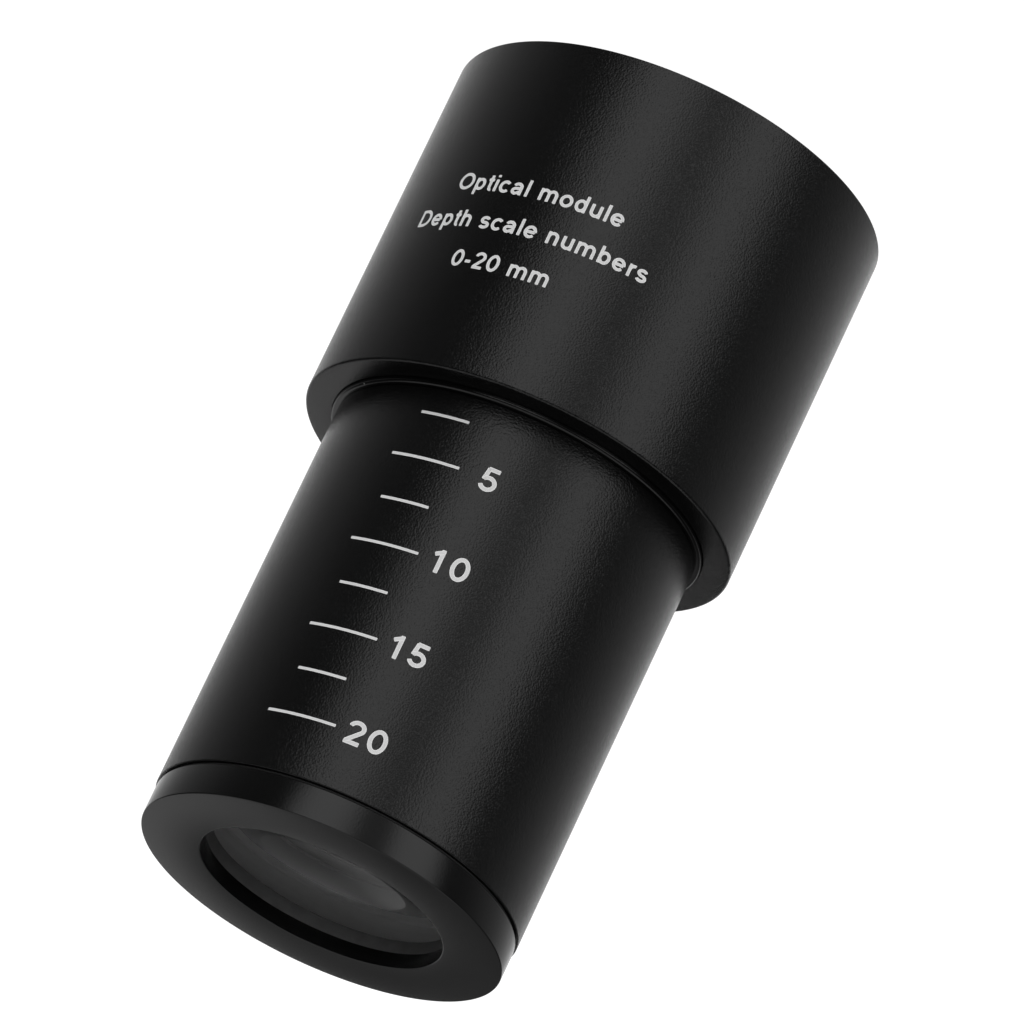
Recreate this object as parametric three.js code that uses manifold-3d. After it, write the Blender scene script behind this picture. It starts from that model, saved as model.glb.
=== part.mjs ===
// Barlow lens for microscope cameras: a wide camera-end body, a graduated barrel
// screwed into it, and a nose cell that holds a cemented negative doublet.
// Millimetres, +Z up. The part stands on its wide end: the origin is the centre
// of that end face, and the lens nose points up.
import * as THREE from 'three';
import { mergeVertices } from 'three/addons/utils/BufferGeometryUtils.js';
import Module from 'manifold-3d';

// ---- driving dimensions ----
const SEGMENTS = 64;
const MERGE_DISTANCE = 1e-4;
const BODY_RADIUS = 11.6;
const BODY_LENGTH = 19.2;
const BARREL_RADIUS = 9.8;
const BARREL_EXPOSED = 22.43;
const NOSE_RADIUS = 9.725;
const NOSE_LENGTH = 1.79;
const NOSE_APERTURE = 6.54;

const RUNNING_FIT = 0.05;
const SEATED_GAP = 0.01;
const THREAD_LEAD_IN = 0.3;
const EDGE_BREAK = 0.06;

const REAR_CHAMFER = 0.1;
const SHOULDER_CHAMFER = 0.15;
const REAR_THREAD_RADIUS = 10.2;
const REAR_THREAD_LENGTH = 5.0;
const REAR_RELIEF_DEPTH = 0.2;
const REAR_RELIEF_WIDTH = 0.8;
const BODY_BORE_RADIUS = 9.7;
const BARREL_THREAD_LENGTH = 6.0;
const BARREL_THREAD_RADIUS = 9.05;

const SEAT_RING_PROUD = 0.3;
const SEAT_RING_SUNK = 0.25;
const SEAT_RING_RADIUS = 10.1;

const BARREL_BORE_RADIUS = 7.9;
const BARREL_STUB_LENGTH = 5.4;
const STUB_RELIEF_WIDTH = 0.8;
const STUB_RELIEF_DEPTH = 0.35;
const CELL_THREAD_RADIUS = 8.75;
const CELL_THREAD_LENGTH = 4.2;
const CELL_PILOT_RADIUS = 8.45;
const CELL_PILOT_LENGTH = 2.2;

const REAR_STOP_APERTURE = 6.9;
const FRONT_STOP_APERTURE = 6.2;
const STOP_SEAT_DEPTH = 0.35;
const STOP_THICKNESS = 0.8;
const STOP_FLARE = 0.6;
const STOP_LANDING = 0.12;
const FRONT_STOP_OFFSET = 3.2;

const SEAL_THICKNESS = 0.16;
const SEAL_RADIUS = 9.5;

const CELL_LIP_THICKNESS = 0.82;
const CELL_SLEEVE_LENGTH = 5.8;
const CELL_THREADED_LENGTH = 3.4;
const CELL_RELIEF_WIDTH = 0.6;
const LENS_POCKET_RADIUS = 7.55;
const SHIM_THICKNESS = 0.7;

const LENS_RADIUS = 7.5;
const FRONT_CURVE_RADIUS = 22.0;
const CEMENT_CURVE_RADIUS = 17.0;
const REAR_CURVE_RADIUS = 48.0;
const FRONT_EDGE_THICKNESS = 3.2;
const REAR_EDGE_THICKNESS = 1.0;
const CURVED_SHARE = 0.9;
const LENS_ARC_STEPS = 6;

const SLIP_RING_THICKNESS = 0.3;
const SLIP_RING_APERTURE = 6.5;
const RETAINER_THICKNESS = 1.1;
const RETAINER_APERTURE = 6.3;
const SLOT_WIDTH = 1.0;
const SLOT_DEPTH = 0.6;

// ---- levels along the axis, from the wide end up ----
const SHOULDER_Z = BODY_LENGTH;
const BARREL_START_Z = SHOULDER_Z + SEAT_RING_PROUD;
const CELL_HEAD_Z = SHOULDER_Z + BARREL_EXPOSED + SEAL_THICKNESS / 2;
const BARREL_END_Z = CELL_HEAD_Z - SEAL_THICKNESS;
const NOSE_Z = SHOULDER_Z + BARREL_EXPOSED + NOSE_LENGTH;
const LIP_Z = NOSE_Z - CELL_LIP_THICKNESS;
const SHIM_Z = LIP_Z - SEATED_GAP - SHIM_THICKNESS;
const FRONT_LENS_Z = SHIM_Z - SEATED_GAP;
const CEMENT_Z = FRONT_LENS_Z - FRONT_EDGE_THICKNESS;
const REAR_LENS_Z = CEMENT_Z - SEATED_GAP;
const SLIP_RING_Z = REAR_LENS_Z - REAR_EDGE_THICKNESS - SEATED_GAP;
const RETAINER_Z = SLIP_RING_Z - SLIP_RING_THICKNESS - SEATED_GAP;

const anodised = { color: 0x17181a, roughness: 0.42, metalness: 0.55 };
const satinAnodised = { color: 0x141517, roughness: 0.3, metalness: 0.6 };
const mattBlack = { color: 0x0c0c0d, roughness: 0.85, metalness: 0.1 };
const rubberBlack = { color: 0x101010, roughness: 0.7, metalness: 0.0 };
const greyShim = { color: 0x6a6c6f, roughness: 0.5, metalness: 0.4 };
const crownGlass = { color: 0xb9c4c6, roughness: 0.05, metalness: 0.0 };
const flintGlass = { color: 0xb4bcc4, roughness: 0.05, metalness: 0.0 };

const wasm = await Module();
wasm.setup();

const assembly = new THREE.Group();

// Adds one named piece with its finish.
function addPiece(name, geometry, finish) {
  const mesh = new THREE.Mesh(geometry, new THREE.MeshStandardMaterial(finish));
  mesh.name = name;
  assembly.add(mesh);
}

// Turns a half-section of [radius, height] points about the Z axis. The points run
// so that material lies on their left: up the outside and down the bore.
function turned(profile) {
  const points = profile.map(([radius, height]) => new THREE.Vector2(radius, height));
  const geometry = new THREE.LatheGeometry(points, SEGMENTS);
  geometry.rotateX(Math.PI / 2);
  return geometry;
}

// Turns a half-section that closes on itself, such as a ring's.
function turnedRing(profile) {
  return turned([...profile, profile[0]]);
}

function toSolid(geometry) {
  const bare = geometry.clone();
  bare.deleteAttribute('normal');
  bare.deleteAttribute('uv');
  const merged = mergeVertices(bare, MERGE_DISTANCE);
  return new wasm.Manifold(new wasm.Mesh({
    numProp: 3,
    vertProperties: new Float32Array(merged.attributes.position.array),
    triVerts: new Uint32Array(merged.index.array),
  }));
}

function toGeometry(solid) {
  const mesh = solid.getMesh();
  const geometry = new THREE.BufferGeometry();
  geometry.setAttribute('position', new THREE.BufferAttribute(mesh.vertProperties, 3));
  geometry.setIndex(new THREE.BufferAttribute(mesh.triVerts, 1));
  return geometry;
}

// Depth of a spherical surface at a distance from the axis.
function sagAt(curveRadius, radius) {
  return curveRadius - Math.sqrt(curveRadius ** 2 - radius ** 2);
}

// Points on a spherical surface that meets the axis at height vertexZ. A positive
// bulge rises towards the rim, and a negative one falls.
function sphereArc(vertexZ, curveRadius, rimRadius, bulge) {
  const points = [];
  for (let step = 0; step <= LENS_ARC_STEPS; step += 1) {
    const radius = (rimRadius * step) / LENS_ARC_STEPS;
    points.push([radius, vertexZ + bulge * sagAt(curveRadius, radius)]);
  }
  return points;
}

// A flat ring with its outer corners broken.
function brokenEdgeRing(inner, outer, low, high, edge) {
  return turnedRing([
    [inner, low],
    [outer - edge, low],
    [outer, low + edge],
    [outer, high - edge],
    [outer - edge, high],
    [inner, high],
  ]);
}

function plainRing(inner, outer, low, high) {
  return turnedRing([
    [inner, low],
    [outer, low],
    [outer, high],
    [inner, high],
  ]);
}

// The wide body: a female thread at the camera end, a relief groove, a plain bore,
// a smaller female thread that takes the barrel, and a recess for the seat ring.
function cameraEndBody() {
  const ledgeZ = BODY_LENGTH - BARREL_THREAD_LENGTH;
  const reliefZ = REAR_THREAD_LENGTH + REAR_RELIEF_WIDTH;
  const reliefRadius = REAR_THREAD_RADIUS + REAR_RELIEF_DEPTH;
  return turnedRing([
    [REAR_THREAD_RADIUS + THREAD_LEAD_IN, 0],
    [BODY_RADIUS - REAR_CHAMFER, 0],
    [BODY_RADIUS, REAR_CHAMFER],
    [BODY_RADIUS, BODY_LENGTH - SHOULDER_CHAMFER],
    [BODY_RADIUS - SHOULDER_CHAMFER, BODY_LENGTH],
    [SEAT_RING_RADIUS + RUNNING_FIT, BODY_LENGTH],
    [SEAT_RING_RADIUS + RUNNING_FIT, BODY_LENGTH - SEAT_RING_SUNK],
    [BARREL_THREAD_RADIUS, BODY_LENGTH - SEAT_RING_SUNK],
    [BARREL_THREAD_RADIUS, ledgeZ],
    [BODY_BORE_RADIUS, ledgeZ],
    [BODY_BORE_RADIUS, reliefZ],
    [reliefRadius, reliefZ],
    [reliefRadius, REAR_THREAD_LENGTH],
    [REAR_THREAD_RADIUS, REAR_THREAD_LENGTH],
    [REAR_THREAD_RADIUS, THREAD_LEAD_IN],
  ]);
}

// The barrel: a threaded stub below the seat ring, the scale-bearing tube, a pocket
// for a glare stop at each end of the bore, and a female thread for the nose cell.
function graduatedBarrel() {
  const stubZ = BARREL_START_Z - BARREL_STUB_LENGTH;
  const stubRadius = BARREL_THREAD_RADIUS - RUNNING_FIT;
  const rearSeatZ = stubZ + STOP_THICKNESS;
  const frontSeatZ = frontStopZ() - SEATED_GAP;
  const pocketRadius = BARREL_BORE_RADIUS + STOP_SEAT_DEPTH;
  return turnedRing([
    [pocketRadius, stubZ],
    [stubRadius - THREAD_LEAD_IN, stubZ],
    [stubRadius, stubZ + THREAD_LEAD_IN],
    [stubRadius, BARREL_START_Z - STUB_RELIEF_WIDTH],
    [stubRadius - STUB_RELIEF_DEPTH, BARREL_START_Z - STUB_RELIEF_WIDTH],
    [stubRadius - STUB_RELIEF_DEPTH, BARREL_START_Z],
    [BARREL_RADIUS - EDGE_BREAK, BARREL_START_Z],
    [BARREL_RADIUS, BARREL_START_Z + EDGE_BREAK],
    [BARREL_RADIUS, BARREL_END_Z - EDGE_BREAK],
    [BARREL_RADIUS - EDGE_BREAK, BARREL_END_Z],
    [CELL_THREAD_RADIUS, BARREL_END_Z],
    [CELL_THREAD_RADIUS, BARREL_END_Z - CELL_THREAD_LENGTH],
    [CELL_PILOT_RADIUS, BARREL_END_Z - CELL_THREAD_LENGTH],
    [CELL_PILOT_RADIUS, pilotEndZ()],
    [pocketRadius, pilotEndZ()],
    [pocketRadius, frontSeatZ],
    [BARREL_BORE_RADIUS, frontSeatZ],
    [BARREL_BORE_RADIUS, rearSeatZ + SEATED_GAP],
    [pocketRadius, rearSeatZ + SEATED_GAP],
  ]);
}

function pilotEndZ() {
  return BARREL_END_Z - CELL_THREAD_LENGTH - CELL_PILOT_LENGTH;
}

function frontStopZ() {
  return pilotEndZ() - FRONT_STOP_OFFSET;
}

// A glare stop: a ring whose bore narrows to a knife edge on one side, so that it
// throws no light forward. flare is +1 when the edge is on top, -1 below.
function glareStop(aperture, baseZ, flare) {
  const outer = BARREL_BORE_RADIUS + STOP_SEAT_DEPTH - SEATED_GAP;
  const top = baseZ + STOP_THICKNESS;
  const open = aperture + STOP_FLARE;
  if (flare > 0) {
    return turnedRing([
      [open, baseZ],
      [outer, baseZ],
      [outer, top],
      [aperture, top],
      [aperture, top - STOP_LANDING],
    ]);
  }
  return turnedRing([
    [aperture, baseZ],
    [outer, baseZ],
    [outer, top],
    [open, top],
    [aperture, baseZ + STOP_LANDING],
  ]);
}

// The nose cell: a thin head with the front lip, over a sleeve that screws into the
// barrel and whose bore is the pocket for the lens stack. The thread is a short band
// between a relief groove under the head and a plain pilot below.
function noseCell() {
  const sleeveRadius = CELL_THREAD_RADIUS - RUNNING_FIT;
  const pilotRadius = CELL_PILOT_RADIUS - RUNNING_FIT;
  const sleeveZ = BARREL_END_Z - CELL_SLEEVE_LENGTH;
  const reliefZ = BARREL_END_Z - CELL_RELIEF_WIDTH;
  const threadZ = reliefZ - CELL_THREADED_LENGTH;
  return turnedRing([
    [LENS_POCKET_RADIUS, sleeveZ],
    [pilotRadius, sleeveZ],
    [pilotRadius, threadZ],
    [sleeveRadius, threadZ + THREAD_LEAD_IN],
    [sleeveRadius, reliefZ],
    [pilotRadius, reliefZ],
    [pilotRadius, CELL_HEAD_Z],
    [NOSE_RADIUS, CELL_HEAD_Z],
    [NOSE_RADIUS, NOSE_Z - EDGE_BREAK],
    [NOSE_RADIUS - EDGE_BREAK, NOSE_Z],
    [NOSE_APERTURE + EDGE_BREAK, NOSE_Z],
    [NOSE_APERTURE, NOSE_Z - EDGE_BREAK],
    [NOSE_APERTURE, LIP_Z],
    [LENS_POCKET_RADIUS, LIP_Z],
  ]);
}

// The front element is hollow on both faces, with a narrow flat land round each.
function frontLens() {
  const frontVertexZ = FRONT_LENS_Z - sagAt(FRONT_CURVE_RADIUS, NOSE_APERTURE);
  const cementRim = LENS_RADIUS * CURVED_SHARE;
  const cementVertexZ = CEMENT_Z + sagAt(CEMENT_CURVE_RADIUS, cementRim);
  const front = sphereArc(frontVertexZ, FRONT_CURVE_RADIUS, NOSE_APERTURE, 1);
  const rear = sphereArc(cementVertexZ, CEMENT_CURVE_RADIUS, cementRim, -1);
  return turned([
    ...rear,
    [LENS_RADIUS, CEMENT_Z],
    [LENS_RADIUS, FRONT_LENS_Z],
    ...front.reverse(),
  ]);
}

// The rear element fills the front one's rear hollow, and is slightly hollow behind.
function rearLens() {
  const cementRim = LENS_RADIUS * CURVED_SHARE;
  const lowZ = REAR_LENS_Z - REAR_EDGE_THICKNESS;
  const cementVertexZ = REAR_LENS_Z + sagAt(CEMENT_CURVE_RADIUS, cementRim);
  const rearVertexZ = lowZ + sagAt(REAR_CURVE_RADIUS, cementRim);
  const rear = sphereArc(rearVertexZ, REAR_CURVE_RADIUS, cementRim, -1);
  const cemented = sphereArc(cementVertexZ, CEMENT_CURVE_RADIUS, cementRim, -1);
  return turned([
    ...rear,
    [LENS_RADIUS, lowZ],
    [LENS_RADIUS, REAR_LENS_Z],
    ...cemented.reverse(),
  ]);
}

// The retaining ring screws into the cell behind the lenses. Two slots across its
// rear face take a pin spanner.
function retainingRing() {
  const outer = LENS_POCKET_RADIUS - RUNNING_FIT;
  const low = RETAINER_Z - RETAINER_THICKNESS;
  const ring = toSolid(plainRing(RETAINER_APERTURE, outer, low, RETAINER_Z));
  const cutter = new THREE.BoxGeometry(2 * BODY_RADIUS, SLOT_WIDTH, 2 * SLOT_DEPTH);
  cutter.translate(0, 0, low);
  return toGeometry(ring.subtract(toSolid(cutter)));
}

addPiece('camera_end_body', cameraEndBody(), anodised);
addPiece(
  'barrel_seat_ring',
  brokenEdgeRing(
    BARREL_THREAD_RADIUS + RUNNING_FIT, SEAT_RING_RADIUS,
    SHOULDER_Z - SEAT_RING_SUNK + SEATED_GAP, BARREL_START_Z - SEATED_GAP, EDGE_BREAK,
  ),
  satinAnodised,
);
addPiece('graduated_barrel', graduatedBarrel(), anodised);
addPiece(
  'rear_glare_stop',
  glareStop(REAR_STOP_APERTURE, BARREL_START_Z - BARREL_STUB_LENGTH, -1),
  mattBlack,
);
addPiece('front_glare_stop', glareStop(FRONT_STOP_APERTURE, frontStopZ(), 1), mattBlack);
addPiece(
  'nose_seal_ring',
  plainRing(
    CELL_THREAD_RADIUS + RUNNING_FIT, SEAL_RADIUS,
    BARREL_END_Z + SEATED_GAP, CELL_HEAD_Z - SEATED_GAP,
  ),
  rubberBlack,
);
addPiece('nose_cell', noseCell(), satinAnodised);
addPiece(
  'lens_front_shim',
  plainRing(NOSE_APERTURE, LENS_RADIUS, SHIM_Z, LIP_Z - SEATED_GAP),
  greyShim,
);
addPiece('front_lens', frontLens(), crownGlass);
addPiece('rear_lens', rearLens(), flintGlass);
addPiece(
  'lens_slip_ring',
  plainRing(
    SLIP_RING_APERTURE, LENS_RADIUS - RUNNING_FIT,
    SLIP_RING_Z - SLIP_RING_THICKNESS, SLIP_RING_Z,
  ),
  mattBlack,
);
addPiece('lens_retaining_ring', retainingRing(), mattBlack);

export default assembly;
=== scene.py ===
"""Looks of a short barlow lens: black anodised body and barrel, engraved depth scale, nose cell and glass.

Lengths are metres in the frame's own axes: the part stands on its wide end with the lens nose up, and the
optical axis is Z. Every turned piece is a surface of revolution worked out on a grid with numpy.
"""

import logging
import math
from dataclasses import dataclass, field
from enum import Enum
from typing import Any, Callable, Sequence

import bpy
import bmesh
import numpy as np
from mathutils import Matrix, Vector


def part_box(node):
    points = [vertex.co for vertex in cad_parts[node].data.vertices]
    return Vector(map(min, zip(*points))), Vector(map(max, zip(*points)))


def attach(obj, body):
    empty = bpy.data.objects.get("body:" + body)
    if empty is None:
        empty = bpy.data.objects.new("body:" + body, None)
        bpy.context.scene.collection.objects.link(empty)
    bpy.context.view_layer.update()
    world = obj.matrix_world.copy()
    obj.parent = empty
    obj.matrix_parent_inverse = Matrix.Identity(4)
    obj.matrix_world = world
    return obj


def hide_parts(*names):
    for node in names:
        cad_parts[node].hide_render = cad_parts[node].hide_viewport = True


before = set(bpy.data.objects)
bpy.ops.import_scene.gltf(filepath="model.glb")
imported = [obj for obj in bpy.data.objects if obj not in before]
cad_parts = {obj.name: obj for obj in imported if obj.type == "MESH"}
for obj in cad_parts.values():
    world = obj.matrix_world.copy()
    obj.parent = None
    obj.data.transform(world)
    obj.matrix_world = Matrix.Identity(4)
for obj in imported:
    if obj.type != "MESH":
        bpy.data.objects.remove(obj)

LOG = logging.getLogger("barlow_lens")
MM = 0.001
TURN = 2.0 * math.pi

SEATED_GAP = 0.01 * MM
COARSE_PITCH = 0.75 * MM
COARSE_DEPTH = 0.34 * MM
FINE_PITCH = 0.5 * MM
FINE_DEPTH = 0.24 * MM
APERTURE = 6.54 * MM
RING_COLUMNS = 192
GLASS_COLUMNS = 256


class Reading(Enum):
    """Which way up lettering reads on the upright part."""

    NOSE_UP = 1.0
    NOSE_DOWN = -1.0


class Cut(Enum):
    """Which way a thread's groove goes from its crests."""

    MALE = -1.0
    FEMALE = 1.0


# ---------------------------------------------------------------- shader writing


class Wire:
    """A shader value that can be used in Python arithmetic.

    Each operator adds one Math node to the sheet that the value belongs to.
    """

    def __init__(self, sheet: "Sheet", socket: bpy.types.NodeSocket) -> None:
        """Wraps one output socket of a sheet."""
        self.sheet = sheet
        self.socket = socket

    def _math(self, operation: str, left: Any, right: Any) -> "Wire":
        """Adds a Math node that joins two values."""
        return self.sheet.node("ShaderNodeMath", {"operation": operation}, {0: left, 1: right})

    def __add__(self, other: Any) -> "Wire":
        """Value plus other."""
        return self._math("ADD", self, other)

    __radd__ = __add__

    def __sub__(self, other: Any) -> "Wire":
        """Value minus other."""
        return self._math("SUBTRACT", self, other)

    def __rsub__(self, other: Any) -> "Wire":
        """Other minus value."""
        return self._math("SUBTRACT", other, self)

    def __mul__(self, other: Any) -> "Wire":
        """Value times other."""
        return self._math("MULTIPLY", self, other)

    __rmul__ = __mul__

    def __truediv__(self, other: Any) -> "Wire":
        """Value over other."""
        return self._math("DIVIDE", self, other)

    def __pow__(self, other: Any) -> "Wire":
        """Value to a power."""
        return self._math("POWER", self, other)


class Sheet:
    """A node tree being written, for a material or for the world."""

    def __init__(self, tree: bpy.types.NodeTree) -> None:
        """Empties a tree and gets ready to write in it."""
        self.tree = tree
        tree.nodes.clear()

    def node(self, kind: str, settings: dict[str, Any] | None = None,
             sockets: dict[Any, Any] | None = None, output: Any = 0) -> Wire | None:
        """Adds one node.

        Args:
            kind: The node's type.
            settings: Node properties, set first. "stops" fills a colour ramp.
            sockets: Input name or number to a value or a Wire.
            output: Name or number of the output that the result stands for.

        Returns:
            The chosen output as a Wire, or None from a node without outputs.
        """
        made = self.tree.nodes.new(kind)
        for key, value in (settings or {}).items():
            if key == "stops":
                self._fill_ramp(made.color_ramp, value)
            else:
                setattr(made, key, value)
        for key, value in (sockets or {}).items():
            if isinstance(value, Wire):
                self.tree.links.new(value.socket, made.inputs[key])
            else:
                made.inputs[key].default_value = value
        return Wire(self, made.outputs[output]) if made.outputs else None

    @staticmethod
    def _fill_ramp(ramp: bpy.types.ColorRamp, stops: Sequence[tuple[float, float]]) -> None:
        """Puts (place, grey) stops in a ramp."""
        while len(ramp.elements) < len(stops):
            ramp.elements.new(0.5)
        for element, (place, grey) in zip(ramp.elements, stops):
            element.position = place
            element.color = (grey, grey, grey, 1.0)

    def object_place(self) -> Wire:
        """The point's place in the part's own frame."""
        return self.node("ShaderNodeTexCoord", output="Object")

    def split(self, vector: Wire) -> tuple[Wire, Wire, Wire]:
        """A vector's three numbers."""
        made = self.node("ShaderNodeSeparateXYZ", sockets={0: vector})
        outputs = made.socket.node.outputs
        return tuple(Wire(self, outputs[k]) for k in range(3))

    def noise(self, place: Wire, scale: float, detail: float = 2.0, rough: float = 0.5) -> Wire:
        """Fractal noise from 0 to 1, with scale in features per metre."""
        return self.node("ShaderNodeTexNoise", {"noise_dimensions": "3D"},
                         {"Vector": place, "Scale": scale, "Detail": detail, "Roughness": rough})

    def window(self, value: Wire, low: float, high: float) -> Wire:
        """Smooth step of a value from 0, at low, to 1, at high."""
        return self.node("ShaderNodeMapRange", {"interpolation_type": "SMOOTHSTEP", "clamp": True},
                         {"Value": value, "From Min": low, "From Max": high})

    def sine(self, phase: Wire) -> Wire:
        """Sine of a phase in radians."""
        return self.node("ShaderNodeMath", {"operation": "SINE"}, {0: phase})

    def dust(self, place: Wire, spacing: float, low: float, high: float) -> Wire:
        """Small dots about scattered points in space, of which a surface shows the few it passes."""
        sockets = {"Vector": place, "Scale": 1.0 / spacing}
        return self.window(self.node("ShaderNodeTexVoronoi", {"feature": "F1"}, sockets), low, high)

    def blend(self, share: Any, first: Any, second: Any) -> Wire:
        """Mixes two colours by a share from 0 to 1."""
        made = self.node("ShaderNodeMix", {"data_type": "RGBA"}, {0: share, 6: first, 7: second})
        return Wire(self, made.socket.node.outputs[2])

    def bump(self, height: Wire, distance: float) -> Wire:
        """Turns a height from 0 to 1 into a surface normal; distance is the height's size in metres."""
        sockets = {"Height": height, "Distance": distance, "Strength": 1.0}
        return self.node("ShaderNodeBump", None, sockets, "Normal")

    def principled(self, **inputs: Any) -> Wire:
        """A Principled shader; keys are its inputs with _ for a space."""
        sockets = {key.replace("_", " "): value for key, value in inputs.items()}
        return self.node("ShaderNodeBsdfPrincipled", None, sockets)

    def emission(self, strength: Any) -> Wire:
        """A shader that gives off white light."""
        return self.node("ShaderNodeEmission", None, {"Color": grey(1.0), "Strength": strength})

    def end(self, shader: Wire, output: str = "ShaderNodeOutputMaterial") -> None:
        """Joins the finished shader to the tree's output."""
        self.node(output, None, {"Surface": shader})

    def surface(self, **inputs: Any) -> None:
        """Ends a material with one Principled shader; keys are its inputs with _ for a space."""
        self.end(self.principled(**inputs))


def grey(value: float, warm: float = 0.0) -> tuple[float, float, float, float]:
    """A near-neutral colour; a negative warmth turns it slightly blue."""
    return (value * (1.0 + warm), value, value * (1.0 - warm), 1.0)


# ---------------------------------------------------------------- finishes


@dataclass(frozen=True)
class Finish:
    """A named material made of shader nodes. Each kind of finish writes its own."""

    name: str

    def write(self, sheet: Sheet, place: Wire) -> None:
        """Writes the nodes, given the point's place in the part's frame."""
        raise NotImplementedError

    def material(self) -> bpy.types.Material:
        """Makes the material."""
        made = bpy.data.materials.new(self.name)
        made.use_nodes = True
        sheet = Sheet(made.node_tree)
        self.write(sheet, sheet.object_place())
        return made


@dataclass(frozen=True)
class BlastedAnodise(Finish):
    """Bead-blasted and black anodised aluminium, with a fine pebbled grain."""

    colour: float = 0.0034
    roughness: float = 0.23
    grain: float = 0.10 * MM
    grain_height: float = 0.024 * MM
    swell: float = 5.0
    swell_share: float = 0.15
    patch: float = 6.0 * MM
    patch_change: float = 0.07
    grain_change: float = 0.10
    speck_spacing: float = 3.4 * MM
    speck_colour: float = 0.42
    index: float = 1.52

    def write(self, sheet: Sheet, place: Wire) -> None:
        """Writes grain and a broader unevenness in the bump, patchy roughness and sparse dust."""
        pebbles = sheet.noise(place, 1.0 / self.grain, 1.5, 0.55)
        swell = sheet.noise(place, 1.0 / (self.grain * self.swell), 2.0, 0.5)
        patches = sheet.noise(place, 1.0 / self.patch, 3.0, 0.6)
        specks = sheet.dust(place, self.speck_spacing, 0.016, 0.008)
        colour = sheet.blend(patches, grey(self.colour * 0.85), grey(self.colour * 1.2, -0.02))
        colour = sheet.blend(specks, colour, grey(self.speck_colour, 0.02))
        roughness = self.roughness + (patches - 0.5) * self.patch_change + (pebbles - 0.5) * self.grain_change
        sheet.surface(Base_Color=colour, Roughness=roughness + specks * 0.3, IOR=self.index,
                      Normal=sheet.bump(pebbles + swell * self.swell_share, self.grain_height))


@dataclass(frozen=True)
class TurnedAnodise(Finish):
    """Finely turned black anodised aluminium: satin, with faint tool rings."""

    colour: float = 0.0034
    roughness: float = 0.16
    ring_pitch: float = 0.11 * MM
    ring_height: float = 0.0010 * MM
    ring_share: float = 0.5
    grain: float = 0.10 * MM
    grain_share: float = 6.0
    drift: float = 0.9 * MM
    drift_turns: float = 5.0
    patch: float = 4.0 * MM
    speck_spacing: float = 2.3 * MM
    speck_colour: float = 0.35
    index: float = 1.52

    def write(self, sheet: Sheet, place: Wire) -> None:
        """Writes tool rings from the point's radius and height, fine grain and patchy roughness."""
        x, y, z = sheet.split(place)
        radius = (x * x + y * y) ** 0.5
        drift = sheet.noise(place, 1.0 / self.drift, 2.0, 0.5)
        rings = sheet.sine((radius + z) * (TURN / self.ring_pitch) + drift * self.drift_turns)
        grain = sheet.noise(place, 1.0 / self.grain, 2.0, 0.6)
        patches = sheet.noise(place, 1.0 / self.patch, 3.0, 0.6)
        specks = sheet.dust(place, self.speck_spacing, 0.022, 0.010)
        colour = sheet.blend(patches, grey(self.colour * 0.85), grey(self.colour * 1.25, -0.02))
        colour = sheet.blend(specks, colour, grey(self.speck_colour))
        roughness = self.roughness + (patches - 0.5) * 0.06 + (grain - 0.5) * 0.06
        height = rings * self.ring_share + grain * self.grain_share
        sheet.surface(Base_Color=colour, Roughness=roughness, IOR=self.index,
                      Normal=sheet.bump(height, self.ring_height))


@dataclass(frozen=True)
class MattBlack(Finish):
    """Dead-black anti-glare paint, slightly dusty."""

    colour: float = 0.006
    roughness: float = 0.82
    powder: float = 0.07 * MM
    powder_height: float = 0.004 * MM
    dust_patch: float = 0.6 * MM

    def write(self, sheet: Sheet, place: Wire) -> None:
        """Writes a powdery bump and patches of dust."""
        powder = sheet.noise(place, 1.0 / self.powder, 3.0, 0.6)
        dust = sheet.window(sheet.noise(place, 1.0 / self.dust_patch, 4.0, 0.65), 0.55, 0.8)
        colour = sheet.blend(dust * 0.5, grey(self.colour), grey(self.colour * 3.0))
        sheet.surface(Base_Color=colour, Roughness=self.roughness + (powder - 0.5) * 0.15,
                      IOR=1.45, Normal=sheet.bump(powder, self.powder_height))


@dataclass(frozen=True)
class SoftRubber(Finish):
    """Black nitrile rubber with a faint bloom."""

    colour: float = 0.009
    roughness: float = 0.62
    bloom_patch: float = 0.8 * MM
    pore: float = 0.05 * MM
    pore_height: float = 0.003 * MM

    def write(self, sheet: Sheet, place: Wire) -> None:
        """Writes bloom patches and fine pores."""
        bloom = sheet.noise(place, 1.0 / self.bloom_patch, 3.0, 0.6)
        pores = sheet.noise(place, 1.0 / self.pore, 2.0, 0.6)
        colour = sheet.blend(bloom * 0.5, grey(self.colour), grey(self.colour * 2.4))
        sheet.surface(Base_Color=colour, Roughness=self.roughness + (bloom - 0.5) * 0.2, IOR=1.5,
                      Normal=sheet.bump(pores, self.pore_height))


@dataclass(frozen=True)
class DullShim(Finish):
    """Plain turned metal left dull grey."""

    colour: float = 0.14
    metallic: float = 0.25
    roughness: float = 0.46
    line_pitch: float = 0.09 * MM
    line_height: float = 0.0012 * MM
    smear_patch: float = 0.7 * MM

    def write(self, sheet: Sheet, place: Wire) -> None:
        """Writes turning lines round the bore and smears."""
        height = sheet.split(place)[2]
        lines = sheet.sine(height * (TURN / self.line_pitch))
        smears = sheet.noise(place, 1.0 / self.smear_patch, 3.0, 0.6)
        colour = sheet.blend(smears, grey(self.colour * 0.7), grey(self.colour * 1.25))
        roughness = self.roughness + (smears - 0.5) * 0.15
        sheet.surface(Base_Color=colour, Metallic=self.metallic, Roughness=roughness,
                      Normal=sheet.bump(lines * 0.5 + smears, self.line_height))


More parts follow.
